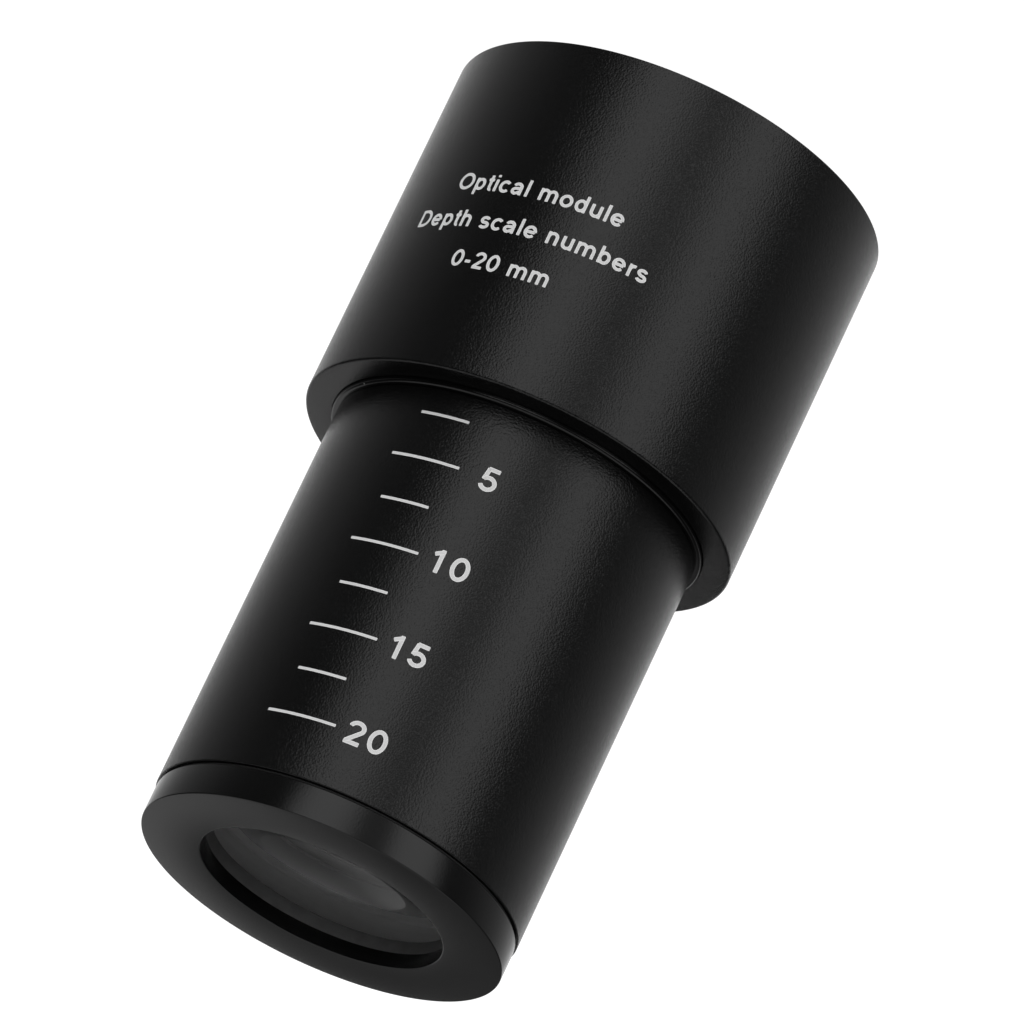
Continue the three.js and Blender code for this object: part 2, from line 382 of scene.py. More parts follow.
@dataclass(frozen=True)
class PolishedGlass(Finish):
    """Polished optical glass with a ground rim."""

    index: float
    clear_radius: float
    tint: tuple[float, float, float] = (0.97, 0.97, 0.97)
    ground: float = 0.72
    rim_blend: float = 0.06 * MM
    frost_grain: float = 0.05 * MM
    frost_height: float = 0.002 * MM
    haze_patch: float = 1.6 * MM
    polish_roughness: float = 0.012
    ground_roughness: float = 0.55

    def write(self, sheet: Sheet, place: Wire) -> None:
        """Writes clear glass with a faint haze inside the polished radius, and pale ground glass outside."""
        x, y, _ = sheet.split(place)
        radius = (x * x + y * y) ** 0.5
        rim = sheet.window(radius, self.clear_radius, self.clear_radius + self.rim_blend)
        frost = sheet.noise(place, 1.0 / self.frost_grain, 3.0, 0.6)
        haze = sheet.window(sheet.noise(place, 1.0 / self.haze_patch, 4.0, 0.6), 0.5, 0.85)
        polish = sheet.principled(Base_Color=(*self.tint, 1.0), Roughness=self.polish_roughness + haze * 0.02,
                                  IOR=self.index, Transmission_Weight=1.0)
        pale = sheet.blend(frost, grey(self.ground * 0.8), grey(self.ground * 1.2))
        ground = sheet.principled(Base_Color=pale, Roughness=self.ground_roughness + (frost - 0.5) * 0.2,
                                  Normal=sheet.bump(frost, self.frost_height))
        sheet.end(sheet.node("ShaderNodeMixShader", None, {0: rim, 1: polish, 2: ground}))


@dataclass(frozen=True)
class LaserMark(Finish):
    """Pale laser marking: dye burnt off the anodised skin, with a painted highlight along the rims."""

    core: float = 0.72
    # rim is the grey of a painted highlight along the strips' outer edges, not a colour of the marking itself
    rim: float = 0.95
    roughness: float = 0.62
    scan_pitch: float = 0.05 * MM
    mottle_patch: float = 0.12 * MM
    relief: float = 0.0015 * MM

    def write(self, sheet: Sheet, place: Wire) -> None:
        """Writes scan lines, mottling and a painted highlight on the rims."""
        height = sheet.split(place)[2]
        scan = sheet.sine(height * (TURN / self.scan_pitch))
        mottle = sheet.noise(place, 1.0 / self.mottle_patch, 3.0, 0.6)
        # Along the strips' outer edges, the rim attribute, the colour turns paler: a painted highlight, not
        # the marking's own colour.
        edge = sheet.node("ShaderNodeAttribute", {"attribute_name": "rim"}, output="Fac")
        core = sheet.blend(mottle, grey(self.core * 0.88), grey(self.core * 1.08))
        colour = sheet.blend(edge, core, grey(self.rim))
        sheet.surface(Base_Color=colour, Roughness=self.roughness + (mottle - 0.5) * 0.2,
                      Normal=sheet.bump(mottle + scan * 0.2, self.relief))


# ---------------------------------------------------------------- surfaces


def mesh_from_grid(name: str, points: np.ndarray, wrap_rows: bool = True) -> bpy.types.Mesh:
    """Makes a closed mesh from a grid of places.

    Quad (i, j) joins rows i and i + 1 with columns j and j + 1, counted round the grid where it wraps. The
    columns always wrap. A grid whose rows don't has its first and last rows drawn together to a point.

    Args:
        name: The mesh's name.
        points: Array of rows x columns x 3 places in metres.
        wrap_rows: Whether the last row joins the first.

    Returns:
        The mesh, smooth with its real corners kept sharp.
    """
    rows, columns = points.shape[:2]
    index = np.arange(rows * columns).reshape(rows, columns)
    down = np.roll(index, -1, axis=0)
    quads = np.stack([index, np.roll(index, -1, axis=1), np.roll(down, -1, axis=1), down], axis=-1)
    quads = quads[: rows if wrap_rows else rows - 1]
    return mesh_from_faces(name, points.reshape(-1, 3), quads.reshape(-1, 4))


def mesh_from_faces(name: str, points: np.ndarray, faces: np.ndarray, merge: float = 2e-7,
                    rim: np.ndarray | None = None) -> bpy.types.Mesh:
    """Makes a mesh from vertices and faces that all have the same number of sides.

    Args:
        name: The mesh's name.
        points: Array of n x 3 places in metres.
        faces: Array of m x k vertex numbers.
        merge: Vertices nearer than this are one.
        rim: A number for each vertex, kept as the attribute "rim".

    Returns:
        The mesh, smooth with its real corners kept sharp.
    """
    mesh = bpy.data.meshes.new(name)
    count, sides = faces.shape
    mesh.vertices.add(len(points))
    mesh.vertices.foreach_set("co", points.astype(np.float32).ravel())
    mesh.loops.add(count * sides)
    mesh.loops.foreach_set("vertex_index", faces.astype(np.int32).ravel())
    mesh.polygons.add(count)
    mesh.polygons.foreach_set("loop_start", np.arange(0, count * sides, sides, dtype=np.int32))
    mesh.update(calc_edges=True)
    if rim is not None:
        mesh.attributes.new("rim", "FLOAT", "POINT").data.foreach_set("value", rim.astype(np.float32))
    tidy(mesh, merge)
    return mesh


def tidy(mesh: bpy.types.Mesh, merge: float, corner: float = 32.0) -> None:
    """Merges doubles, points the faces outwards and marks sharp corners.

    Args:
        mesh: The mesh to tidy in place.
        merge: Vertices nearer than this are one.
        corner: Edges sharper than this many degrees stay crisp.
    """
    work = bmesh.new()
    work.from_mesh(mesh)
    bmesh.ops.remove_doubles(work, verts=work.verts, dist=merge)
    bmesh.ops.dissolve_degenerate(work, edges=work.edges, dist=merge)
    bmesh.ops.recalc_face_normals(work, faces=work.faces)
    work.to_mesh(mesh)
    work.free()
    mesh.shade_smooth()
    mesh.set_sharp_from_angle(angle=math.radians(corner))
    mesh.update()


@dataclass
class Thread:
    """A right-handed screw thread on a stretch of a profile."""

    low: float
    high: float
    pitch: float
    depth: float
    cut: Cut
    rows_per_turn: int = 12
    steepness: float = 1.35
    crest: float = 0.2
    runout: float = 0.5

    def heights(self) -> np.ndarray:
        """Heights of the rows that carry the thread, from low to high."""
        turns = (self.high - self.low) / self.pitch
        return np.linspace(self.low, self.high, int(turns * self.rows_per_turn) + 1)

    def groove(self, height: np.ndarray, angle: np.ndarray) -> np.ndarray:
        """Radial offset of the groove: a V with a flat crest and root that climbs one pitch a turn.

        Args:
            height: Heights of the rows.
            angle: Angles round the axis.

        Returns:
            The offset from the crest, fading to none over the runout, a share of the pitch, at both ends.
        """
        phase = np.mod(height / self.pitch - angle / TURN, 1.0)
        vee = np.clip(self.steepness * (1.0 - np.abs(2.0 * phase - 1.0)) - self.crest, 0.0, 1.0)
        inside = np.minimum(height - self.low, self.high - height)
        fade = np.clip(inside / (self.runout * self.pitch), 0.0, 1.0)
        return self.cut.value * self.depth * vee * fade


@dataclass
class HalfSection:
    """The half-section of a turned piece: corners, rounds, curved faces and stretches with a thread."""

    radii: list[float] = field(default_factory=list)
    heights: list[float] = field(default_factory=list)
    bands: list[tuple[int, Thread]] = field(default_factory=list)

    def corner(self, radius: float, height: float) -> "HalfSection":
        """Adds a sharp corner."""
        self.radii.append(radius)
        self.heights.append(height)
        return self

    def threaded(self, radius: float, thread: Thread, rising: bool) -> "HalfSection":
        """Adds the rows of a thread whose crests are at one radius, going up or down."""
        rows = thread.heights() if rising else thread.heights()[::-1]
        self.bands.append((len(self.radii), thread))
        self.radii.extend([radius] * len(rows))
        self.heights.extend(rows.tolist())
        return self

    def arc(self, centre: tuple[float, float], size: float, start: float, end: float,
            steps: int = 5) -> "HalfSection":
        """Adds a round: centre plus size times (cos, sin) as the angle goes from start to end degrees."""
        angles = np.radians(np.linspace(start, end, steps + 1))
        self.radii.extend((centre[0] + size * np.cos(angles)).tolist())
        self.heights.extend((centre[1] + size * np.sin(angles)).tolist())
        return self

    def dish(self, vertex: float, curve: float, rim: float, bulge: float, outwards: bool,
             steps: int = 40) -> "HalfSection":
        """Adds a spherical face.

        Its height is vertex plus bulge times the sag, R less the root of R squared less r squared.

        Args:
            vertex: Height where the face meets the axis.
            curve: Radius R of the sphere.
            rim: Radius at which the face ends.
            bulge: 1 if the face rises towards its rim, -1 if it falls.
            outwards: Whether the rows go from the axis to the rim.
            steps: Number of steps.

        Returns:
            The section.
        """
        radius = np.linspace(0.0, rim, steps + 1)
        height = vertex + bulge * (curve - np.sqrt(curve**2 - radius**2))
        order = slice(None) if outwards else slice(None, None, -1)
        self.radii.extend(radius[order].tolist())
        self.heights.extend(height[order].tolist())
        return self

    def turned(self, name: str, columns: int = 288) -> bpy.types.Mesh:
        """Turns the section about the Z axis.

        Point (i, j) is (r cos a, r sin a, z), with a the column's angle, z the row's height and r the row's
        radius plus the groove of any thread there. A section that starts and ends on the axis is closed by
        its two poles, and any other closes on itself.

        Args:
            name: The mesh's name.
            columns: How many steps go round the axis.

        Returns:
            The closed mesh.
        """
        angle = (np.arange(columns) * TURN / columns)[None, :]
        height = np.array(self.heights)[:, None] + 0.0 * angle
        radius = np.array(self.radii)[:, None] + 0.0 * angle
        for start, thread in self.bands:
            rows = slice(start, start + len(thread.heights()))
            radius[rows] += thread.groove(height[rows], angle)
        points = np.stack([radius * np.cos(angle), radius * np.sin(angle), height], axis=-1)
        poles = self.radii[0] == 0.0 and self.radii[-1] == 0.0
        return mesh_from_grid(name, points, wrap_rows=not poles)


def plain_ring(name: str, bore: float, outside: float, low: float, high: float,
               edge: float) -> bpy.types.Mesh:
    """A flat ring of rectangular section with all four corners rounded by the size of edge."""
    section = HalfSection()
    section.arc((outside - edge, low + edge), edge, -90.0, 0.0)
    section.arc((outside - edge, high - edge), edge, 0.0, 90.0)
    section.arc((bore + edge, high - edge), edge, 90.0, 180.0)
    section.arc((bore + edge, low + edge), edge, 180.0, 270.0)
    return section.turned(name, RING_COLUMNS)


# ---------------------------------------------------------------- placing


class Bench:
    """Puts finished meshes in the scene and ties them to the frame's bodies."""

    def put(self, mesh: bpy.types.Mesh, material: bpy.types.Material, body: str,
            node: str | None = None) -> bpy.types.Object:
        """Makes an object of a mesh, dresses it and lets it ride.

        Args:
            mesh: The finished mesh, already in place.
            material: Its finish.
            body: The frame body it moves with.
            node: The frame node it stands for, if it replaces one.

        Returns:
            The object.
        """
        piece = bpy.data.objects.new(mesh.name, mesh)
        bpy.context.scene.collection.objects.link(piece)
        mesh.materials.clear()
        mesh.materials.append(material)
        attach(piece, body)
        if node:
            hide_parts(node)
        LOG.info("%-26s rides on %-10s %6d faces", piece.name, body, len(mesh.polygons))
        return piece


BENCH = Bench()


def level(node: str, top: bool) -> float:
    """Height of a frame node's top or bottom."""
    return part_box(node)[1 if top else 0].z


def reach(node: str) -> float:
    """Outside radius of a frame node."""
    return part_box(node)[1].x


def span(node: str) -> tuple[float, float, float]:
    """A frame node's bottom, top and outside radius."""
    return level(node, False), level(node, True), reach(node)


# ---------------------------------------------------------------- marks


@dataclass(frozen=True)
class Stroke:
    """One pen stroke of a letter: a straight piece, an elliptic arc, or an arc and then a straight piece.

    Lengths are shares of a capital's height, from the letter's left end and its foot.
    """

    start: tuple[float, float] | None = None
    end: tuple[float, float] | None = None
    centre: tuple[float, float] = (0.0, 0.0)
    radii: tuple[float, float] = (0.0, 0.0)
    sweep: tuple[float, float] | None = None

    def path(self, steps: int = 44) -> np.ndarray:
        """The stroke's centre line as an n x 2 array.

        An arc is centre + radii times (cos, sin) of the sweep's angle in degrees.

        Args:
            steps: Number of points on each straight piece and each arc.

        Returns:
            The places, at even distances.
        """
        pieces = [] if self.start is None else [np.array([self.start])]
        if self.sweep is not None:
            angle = np.radians(np.linspace(*self.sweep, steps))
            round_trip = np.stack([np.cos(angle), np.sin(angle)], axis=-1)
            pieces.append(np.array(self.centre) + np.array(self.radii) * round_trip)
        if self.end is not None:
            pieces.append(np.array([self.end]))
        corners = np.concatenate(pieces)
        run = np.concatenate([[0.0], np.cumsum(np.linalg.norm(np.diff(corners, axis=0), axis=1))])
        even = np.linspace(0.0, run[-1], steps)
        return np.stack([np.interp(even, run, corners[:, k]) for k in range(2)], axis=-1)


def bar(x0: float, y0: float, x1: float, y1: float) -> Stroke:
    """A straight stroke."""
    return Stroke(start=(x0, y0), end=(x1, y1))


def bow(x: float, y: float, across: float, up: float, first: float, last: float,
        end: tuple[float, float] | None = None) -> Stroke:
    """An arc about (x, y), which may run on straight to an end."""
    return Stroke(centre=(x, y), radii=(across, up), sweep=(first, last), end=end)


def stem(x: float, top: float) -> Stroke:
    """An upright stroke from the foot."""
    return bar(x, 0.0, x, top)


SMALL = 0.725
MIDDLE = SMALL / 2
BOWL = 0.2875
ARCH = 0.43
RING = (-94.0, 274.0)
LETTERS: dict[str, tuple[float, tuple[Stroke, ...]]] = {
    " ": (0.388, ()),
    "-": (0.465, (bar(0.07, 0.36, 0.40, 0.36),)),
    "0": (0.776, (bow(0.388, 0.5, 0.262, 0.42, *RING),)),
    "1": (0.776, (stem(0.46, 1.0), bar(0.19, 0.73, 0.47, 0.90))),
    "2": (0.776, (bow(0.385, 0.70, 0.245, 0.22, 172.0, -35.0, (0.15, 0.10)), bar(0.09, 0.08, 0.67, 0.08))),
    "5": (0.776, (bar(0.64, 0.92, 0.20, 0.92), bar(0.245, 0.95, 0.175, 0.45),
                  bow(0.37, 0.325, 0.25, 0.245, 142.0, -162.0))),
    "D": (1.008, (stem(0.17, 1.0), bar(0.17, 0.925, 0.45, 0.925), bar(0.17, 0.075, 0.45, 0.075),
                  bow(0.44, 0.5, 0.42, 0.425, 92.0, -92.0))),
    "O": (1.087, (bow(0.545, 0.5, 0.415, 0.425, *RING),)),
    "a": (0.776, (bow(0.37, 0.45, 0.225, 0.20, 158.0, 0.0, (0.60, 0.0)),
                  bow(0.33, 0.225, 0.20, 0.15, 90.0, 285.0),
                  bar(0.32, 0.37, 0.60, 0.405), bar(0.36, 0.08, 0.58, 0.22))),
    "b": (0.776, (stem(0.165, 1.0), bow(0.40, MIDDLE, 0.235, BOWL, *RING))),
    "c": (0.698, (bow(0.37, MIDDLE, 0.265, BOWL, 42.0, 318.0),)),
    "d": (0.776, (stem(0.61, 1.0), bow(0.375, MIDDLE, 0.235, BOWL, *RING))),
    "e": (0.776, (bar(0.13, 0.36, 0.65, 0.36), bow(0.385, MIDDLE, 0.265, BOWL, 0.0, 322.0))),
    "h": (0.776, (stem(0.165, 1.0), bow(0.39, ARCH, 0.225, 0.22, 180.0, 0.0, (0.615, 0.0)))),
    "i": (0.310, (stem(0.155, SMALL), bar(0.155, 0.86, 0.155, 1.0))),
    "l": (0.310, (stem(0.155, 1.0),)),
    "m": (1.163, (stem(0.16, SMALL), bow(0.37, ARCH, 0.21, 0.22, 180.0, 0.0, (0.58, 0.0)),
                  bow(0.79, ARCH, 0.21, 0.22, 180.0, 0.0, (1.0, 0.0)))),
    "n": (0.776, (stem(0.165, SMALL), bow(0.39, ARCH, 0.225, 0.22, 180.0, 0.0, (0.615, 0.0)))),
    "o": (0.776, (bow(0.388, MIDDLE, 0.27, BOWL, *RING),)),
    "p": (0.776, (bar(0.165, SMALL, 0.165, -0.28), bow(0.40, MIDDLE, 0.235, BOWL, *RING))),
    "r": (0.465, (stem(0.165, SMALL), bow(0.39, 0.42, 0.225, 0.23, 180.0, 78.0))),
    "s": (0.698, (bow(0.345, 0.505, 0.205, 0.148, 22.0, 272.0),
                  bow(0.345, 0.215, 0.22, 0.145, 92.0, -158.0))),
    "t": (0.388, (bar(0.04, 0.655, 0.37, 0.655), bar(0.21, 0.93, 0.21, 0.17),
                  bow(0.32, 0.18, 0.11, 0.11, 180.0, 292.0))),
    "u": (0.776, (stem(0.61, SMALL), bow(0.385, 0.295, 0.225, 0.22, 360.0, 180.0, (0.16, SMALL)))),
}


@dataclass
class Engraving:
    """Generic figures, words and lines marked on a cylinder as thin closed strips."""

    radius: float
    reading: Reading = Reading.NOSE_DOWN
    lift: float = 0.005 * MM
    sink: float = 0.02 * MM
    stagger: float = 0.0004 * MM
    corner_share: float = 0.22
    core_share: float = 0.55
    levels: int = 5
    end_steps: int = 5
    places: list[np.ndarray] = field(default_factory=list)
    faces: list[np.ndarray] = field(default_factory=list)
    rims: list[np.ndarray] = field(default_factory=list)

    def wrapped(self, flat: np.ndarray, azimuth: float, height: float) -> np.ndarray:
        """Lays flat places on the cylinder: x runs round it, y along it and z out from it.

        Args:
            flat: Array of ... x 3 flat places in metres.
            azimuth: Angle of the flat origin, in degrees.
            height: Height of the flat origin.

        Returns:
            The places on the cylinder.
        """
        angle = math.radians(azimuth) + self.reading.value * flat[..., 0] / self.radius
        out = self.radius + flat[..., 2]
        along = height + self.reading.value * flat[..., 1]
        return np.stack([out * np.cos(angle), out * np.sin(angle), along], axis=-1)

    def stroke(self, path: np.ndarray, width: float, azimuth: float, height: float) -> None:
        """Adds a strip of even width with rounded corners along a centre line.

        Every cross-section has six corners: two at the foot and four on top, whose outer two are the rim,
        where the marking's material paints a highlight.
        Near an end, at a distance t less than the corner radius c, the half-width is width / 2 - c + root of
        (c squared - (c - t) squared). The top rises a hair along the strip, so that crossings don't coincide.

        Args:
            path: Array of n x 2 flat places in metres.
            width: The strip's width.
            azimuth: Angle of the flat origin, in degrees.
            height: Height of the flat origin.
        """
        run = np.concatenate([[0.0], np.cumsum(np.linalg.norm(np.diff(path, axis=0), axis=1))])
        corner = self.corner_share * width
        ends = corner * (1.0 - np.cos(np.linspace(0.0, math.pi / 2, self.end_steps)))
        middle = run[(run > corner) & (run < run[-1] - corner)]
        place = np.concatenate([ends, middle, run[-1] - ends[::-1]])
        line = np.stack([np.interp(place, run, path[:, k]) for k in range(2)], axis=-1)
        heading = np.gradient(path, axis=0)
        heading = np.stack([np.interp(place, run, heading[:, k]) for k in range(2)], axis=-1)
        heading /= np.linalg.norm(heading, axis=1, keepdims=True)
        short = corner - np.clip(np.minimum(place, run[-1] - place), 0.0, corner)
        half = width / 2 - corner + np.sqrt(corner**2 - short**2)
        top = self.lift + self.stagger * (len(self.places) % self.levels + place / run[-1])
        share = np.array([-1.0, -1.0, -self.core_share, self.core_share, 1.0, 1.0])[:, None]
        side = np.stack([-heading[:, 1], heading[:, 0]], axis=-1)
        flat = line[None] + share[..., None] * half[None, :, None] * side[None]
        foot = np.array([1, 0, 0, 0, 0, 1])[:, None]
        out = np.where(foot == 1, -self.sink, top[None])
        grid = self.wrapped(np.concatenate([flat, out[..., None]], axis=-1), azimuth, height)
        index = np.arange(grid.shape[0] * grid.shape[1]).reshape(grid.shape[:2])
        down = np.roll(index, -1, axis=0)
        sides = np.stack([index[:, :-1], index[:, 1:], down[:, 1:], down[:, :-1]], axis=-1).reshape(-1, 4)
        caps = np.stack([index[[0, 1, 2, 3]][:, [0, -1]], index[[5, 4, 3, 2]][:, [0, -1]]])
        caps = np.stack([caps[0, 0], caps[0, 1], caps[1, 1], caps[1, 0]], axis=-1)
        inner = np.stack([index[row, [0, -1]] for row in (1, 2, 3, 4)], axis=-1)
        start = sum(len(done) for done in self.places)
        self.places.append(grid.reshape(-1, 3))
        self.faces.append(np.concatenate([sides, caps, inner]) + start)
        # The outer corners are flagged so that the marking's material can paint a highlight along them.
        self.rims.append(np.repeat(np.abs(share) > 0.99, grid.shape[1], axis=1).ravel())

    def write(self, words: str, cap: float, width: float, spacing: float, azimuth: float, height: float,
              stretch: float = 1.0) -> None:
        """Adds centred lettering.

        Args:
            words: What to write.
            cap: Height of a capital.
            width: Width of the strokes.
            spacing: Extra space between letters, as a share of the capital height.
            azimuth: Angle of the lettering's middle, in degrees.
            height: Height of the line that the letters stand on.
            stretch: How much wider than drawn the letters are.
        """
        advances = [LETTERS[letter][0] + spacing for letter in words]
        cursor = -(sum(advances) - spacing) / 2
        for letter, advance in zip(words, advances):
            for stroke in LETTERS[letter][1]:
                flat = (stroke.path() + (cursor, 0.0)) * (cap * stretch, cap)
                self.stroke(flat, width, azimuth, height)
            cursor += advance

    def mesh(self, name: str) -> bpy.types.Mesh:
        """Everything added so far as one mesh, with a "rim" attribute that is 1 along the strips' edges,
        where the marking's material paints a highlight.
        """
        return mesh_from_faces(name, np.concatenate(self.places), np.concatenate(self.faces), 1e-9,
                               np.concatenate(self.rims))


# ---------------------------------------------------------------- sub-assemblies


@dataclass
class CameraEndBody:
    """The wide body: casing, the threads inside it, its seat ring and its lettering."""

    rear_edge: float = 0.10 * MM
    shoulder_edge: float = 0.15 * MM
    rear_thread_radius: float = 10.2 * MM
    rear_thread_length: float = 5.0 * MM
    relief_radius: float = 10.4 * MM
    relief_width: float = 0.8 * MM
    bore: float = 9.7 * MM
    barrel_thread_radius: float = 9.05 * MM
    barrel_thread_length: float = 6.0 * MM
    lead_in: float = 0.3 * MM
    fit: float = 0.05 * MM
    ring_edge: float = 0.18 * MM
    ring_foot: float = 0.03 * MM
    cap_height: float = 0.97 * MM
    stroke_width: float = 0.165 * MM
    letter_spacing: float = 0.05
    lines: tuple[tuple[str, float, float], ...] = (
        ("Optical module", -62.0, 9.03), ("Depth scale numbers", -63.2, 11.20), ("0-20 mm", -61.5, 13.51))

    def casing(self) -> bpy.types.Mesh:
        """The casing as one turned shell with both female threads cut in it."""
        outside, top = reach("camera_end_body"), level("camera_end_body", True)
        recess_radius = reach("barrel_seat_ring") + self.fit
        recess_floor = level("barrel_seat_ring", False) - SEATED_GAP
        ledge = top - self.barrel_thread_length
        edge = self.shoulder_edge
        barrel_thread = Thread(ledge, recess_floor - self.lead_in, COARSE_PITCH, COARSE_DEPTH, Cut.FEMALE)
        rear_thread = Thread(self.lead_in, self.rear_thread_length, FINE_PITCH, FINE_DEPTH, Cut.FEMALE)
        section = HalfSection()
        section.corner(self.rear_thread_radius + self.lead_in, 0.0)
        section.arc((outside - self.rear_edge, self.rear_edge), self.rear_edge, -90.0, 0.0)
        section.arc((outside - edge, top - edge), edge, 0.0, 90.0)
        section.corner(recess_radius, top).corner(recess_radius, recess_floor)
        section.corner(self.barrel_thread_radius + self.lead_in, recess_floor)
        section.threaded(self.barrel_thread_radius, barrel_thread, rising=False)
        section.corner(self.bore, ledge)
        section.corner(self.bore, self.rear_thread_length + self.relief_width)
        section.corner(self.relief_radius, self.rear_thread_length + self.relief_width)
        section.corner(self.relief_radius, self.rear_thread_length)
        section.threaded(self.rear_thread_radius, rear_thread, rising=False)
        return section.turned("body_casing")

    def seat_ring(self) -> bpy.types.Mesh:
        """The thin ring round the barrel's root, with a bevelled outer edge."""
        low, high, outside = span("barrel_seat_ring")
        bore = self.barrel_thread_radius + self.fit
        bevel, foot = self.ring_edge, self.ring_foot
        section = HalfSection()
        section.corner(bore, low).corner(outside - foot, low).corner(outside, low + foot)
        section.arc((outside - bevel, high - bevel), bevel, 0.0, 90.0)
        section.corner(bore, high)
        return section.turned("seat_ring")

    def lettering(self) -> bpy.types.Mesh:
        """Generic words on the casing."""
        engraving = Engraving(reach("camera_end_body"))
        sizes = (self.cap_height, self.stroke_width, self.letter_spacing)
        for words, azimuth, foot in self.lines:
            engraving.write(words, *sizes, azimuth, foot * MM)
        return engraving.mesh("body_lettering")

    def build(self, finishes: "Finishes") -> None:
        """Builds, dresses and places every piece of the body."""
        BENCH.put(self.casing(), finishes.body, "housing", node="camera_end_body")
        BENCH.put(self.seat_ring(), finishes.satin, "seat_ring", node="barrel_seat_ring")
        BENCH.put(self.lettering(), finishes.mark, "housing")


@dataclass
class GraduatedBarrel:
    """The barrel with its depth scale and two glare stops."""

    thread_radius: float = 9.0 * MM
    relief_depth: float = 0.35 * MM
    relief_width: float = 0.8 * MM
    edge: float = 0.06 * MM
    lead_in: float = 0.3 * MM
    bore: float = 7.9 * MM
    stop_pocket: float = 8.25 * MM
    cell_thread_radius: float = 8.75 * MM
    cell_thread_length: float = 4.2 * MM
    mouth: float = 0.2 * MM
    pilot_radius: float = 8.45 * MM
    pilot_length: float = 2.2 * MM
    rear_stop_aperture: float = 6.9 * MM
    front_stop_aperture: float = 6.2 * MM
    stop_flare: float = 0.75
    stop_landing: float = 0.12 * MM
    divisions: int = 8
    line_steps: int = 40
    scale_zero: float = 18.41 * MM
    division: float = 2.5 * MM
    line_azimuth: float = -61.2
    short_arc: float = 15.9
    long_arc: float = 22.4
    line_width: float = 0.145 * MM
    number_azimuth: float = -82.0
    number_height: float = 1.307 * MM
    number_stroke: float = 0.225 * MM
    number_spacing: float = 0.06
    number_stretch: float = 1.08

    def tube(self) -> bpy.types.Mesh:
        """The tube as one turned shell: male thread below, female thread for the cell above."""
        low, high, outside = span("graduated_barrel")
        root = level("barrel_seat_ring", True) + SEATED_GAP
        rear_stop = level("rear_glare_stop", True) + SEATED_GAP
        front_stop = level("front_glare_stop", False) - SEATED_GAP
        thread_end = root - self.relief_width
        pilot_end = high - self.cell_thread_length - self.pilot_length
        male = Thread(low + self.lead_in, thread_end, COARSE_PITCH, COARSE_DEPTH, Cut.MALE)
        female = Thread(high - self.cell_thread_length, high - self.mouth, FINE_PITCH, FINE_DEPTH, Cut.FEMALE)
        section = HalfSection()
        section.corner(self.stop_pocket, low).corner(self.thread_radius - self.lead_in, low)
        section.threaded(self.thread_radius, male, rising=True)
        section.corner(self.thread_radius - self.relief_depth, thread_end)
        section.corner(self.thread_radius - self.relief_depth, root)
        section.arc((outside - self.edge, root + self.edge), self.edge, -90.0, 0.0)
        section.arc((outside - self.edge, high - self.edge), self.edge, 0.0, 90.0)
        section.corner(self.cell_thread_radius + self.mouth, high)
        section.threaded(self.cell_thread_radius, female, rising=False)
        section.corner(self.pilot_radius, high - self.cell_thread_length)
        section.corner(self.pilot_radius, pilot_end).corner(self.stop_pocket, pilot_end)
        section.corner(self.stop_pocket, front_stop).corner(self.bore, front_stop)
        section.corner(self.bore, rear_stop).corner(self.stop_pocket, rear_stop)
        return section.turned("barrel_tube")

    def glare_stop(self, name: str, node: str, aperture: float, edge_up: bool) -> bpy.types.Mesh:
        """A knife-edged ring whose bore opens away from its edge."""
        low, high, outside = span(node)
        flare, land = (high - low) * self.stop_flare, self.stop_landing
        section = HalfSection()
        if edge_up:
            section.corner(aperture + flare, low).corner(outside, low).corner(outside, high)
            section.corner(aperture, high).corner(aperture, high - land)
        else:
            section.corner(aperture, low).corner(outside, low).corner(outside, high)
            section.corner(aperture + flare, high).corner(aperture, low + land)
        return section.turned(name, RING_COLUMNS)

    def scale(self) -> bpy.types.Mesh:
        """Short lines at odd divisions, and long ones with their millimetre reading at even divisions."""
        engraving = Engraving(reach("graduated_barrel"))
        for division in range(1, self.divisions + 1):
            numbered = division % 2 == 0
            height = self.scale_zero + division * self.division
            half = math.radians(self.long_arc if numbered else self.short_arc) * engraving.radius / 2
            run = np.linspace(-half, half, self.line_steps)
            path = np.stack([run, np.zeros_like(run)], axis=-1)
            engraving.stroke(path, self.line_width, self.line_azimuth, height)
            if numbered:
                reading = str(round(division * self.division / MM))
                engraving.write(reading, self.number_height, self.number_stroke, self.number_spacing,
                                self.number_azimuth, height + self.number_height / 2, self.number_stretch)
        return engraving.mesh("barrel_scale")

    def build(self, finishes: "Finishes") -> None:
        """Builds, dresses and places every piece of the barrel."""
        BENCH.put(self.tube(), finishes.barrel, "barrel", node="graduated_barrel")
        for name, node, aperture, edge_up in (
                ("glare_stop_rear", "rear_glare_stop", self.rear_stop_aperture, False),
                ("glare_stop_front", "front_glare_stop", self.front_stop_aperture, True)):
            BENCH.put(self.glare_stop(name, node, aperture, edge_up), finishes.matt, "barrel", node=node)
        BENCH.put(self.scale(), finishes.mark, "barrel")


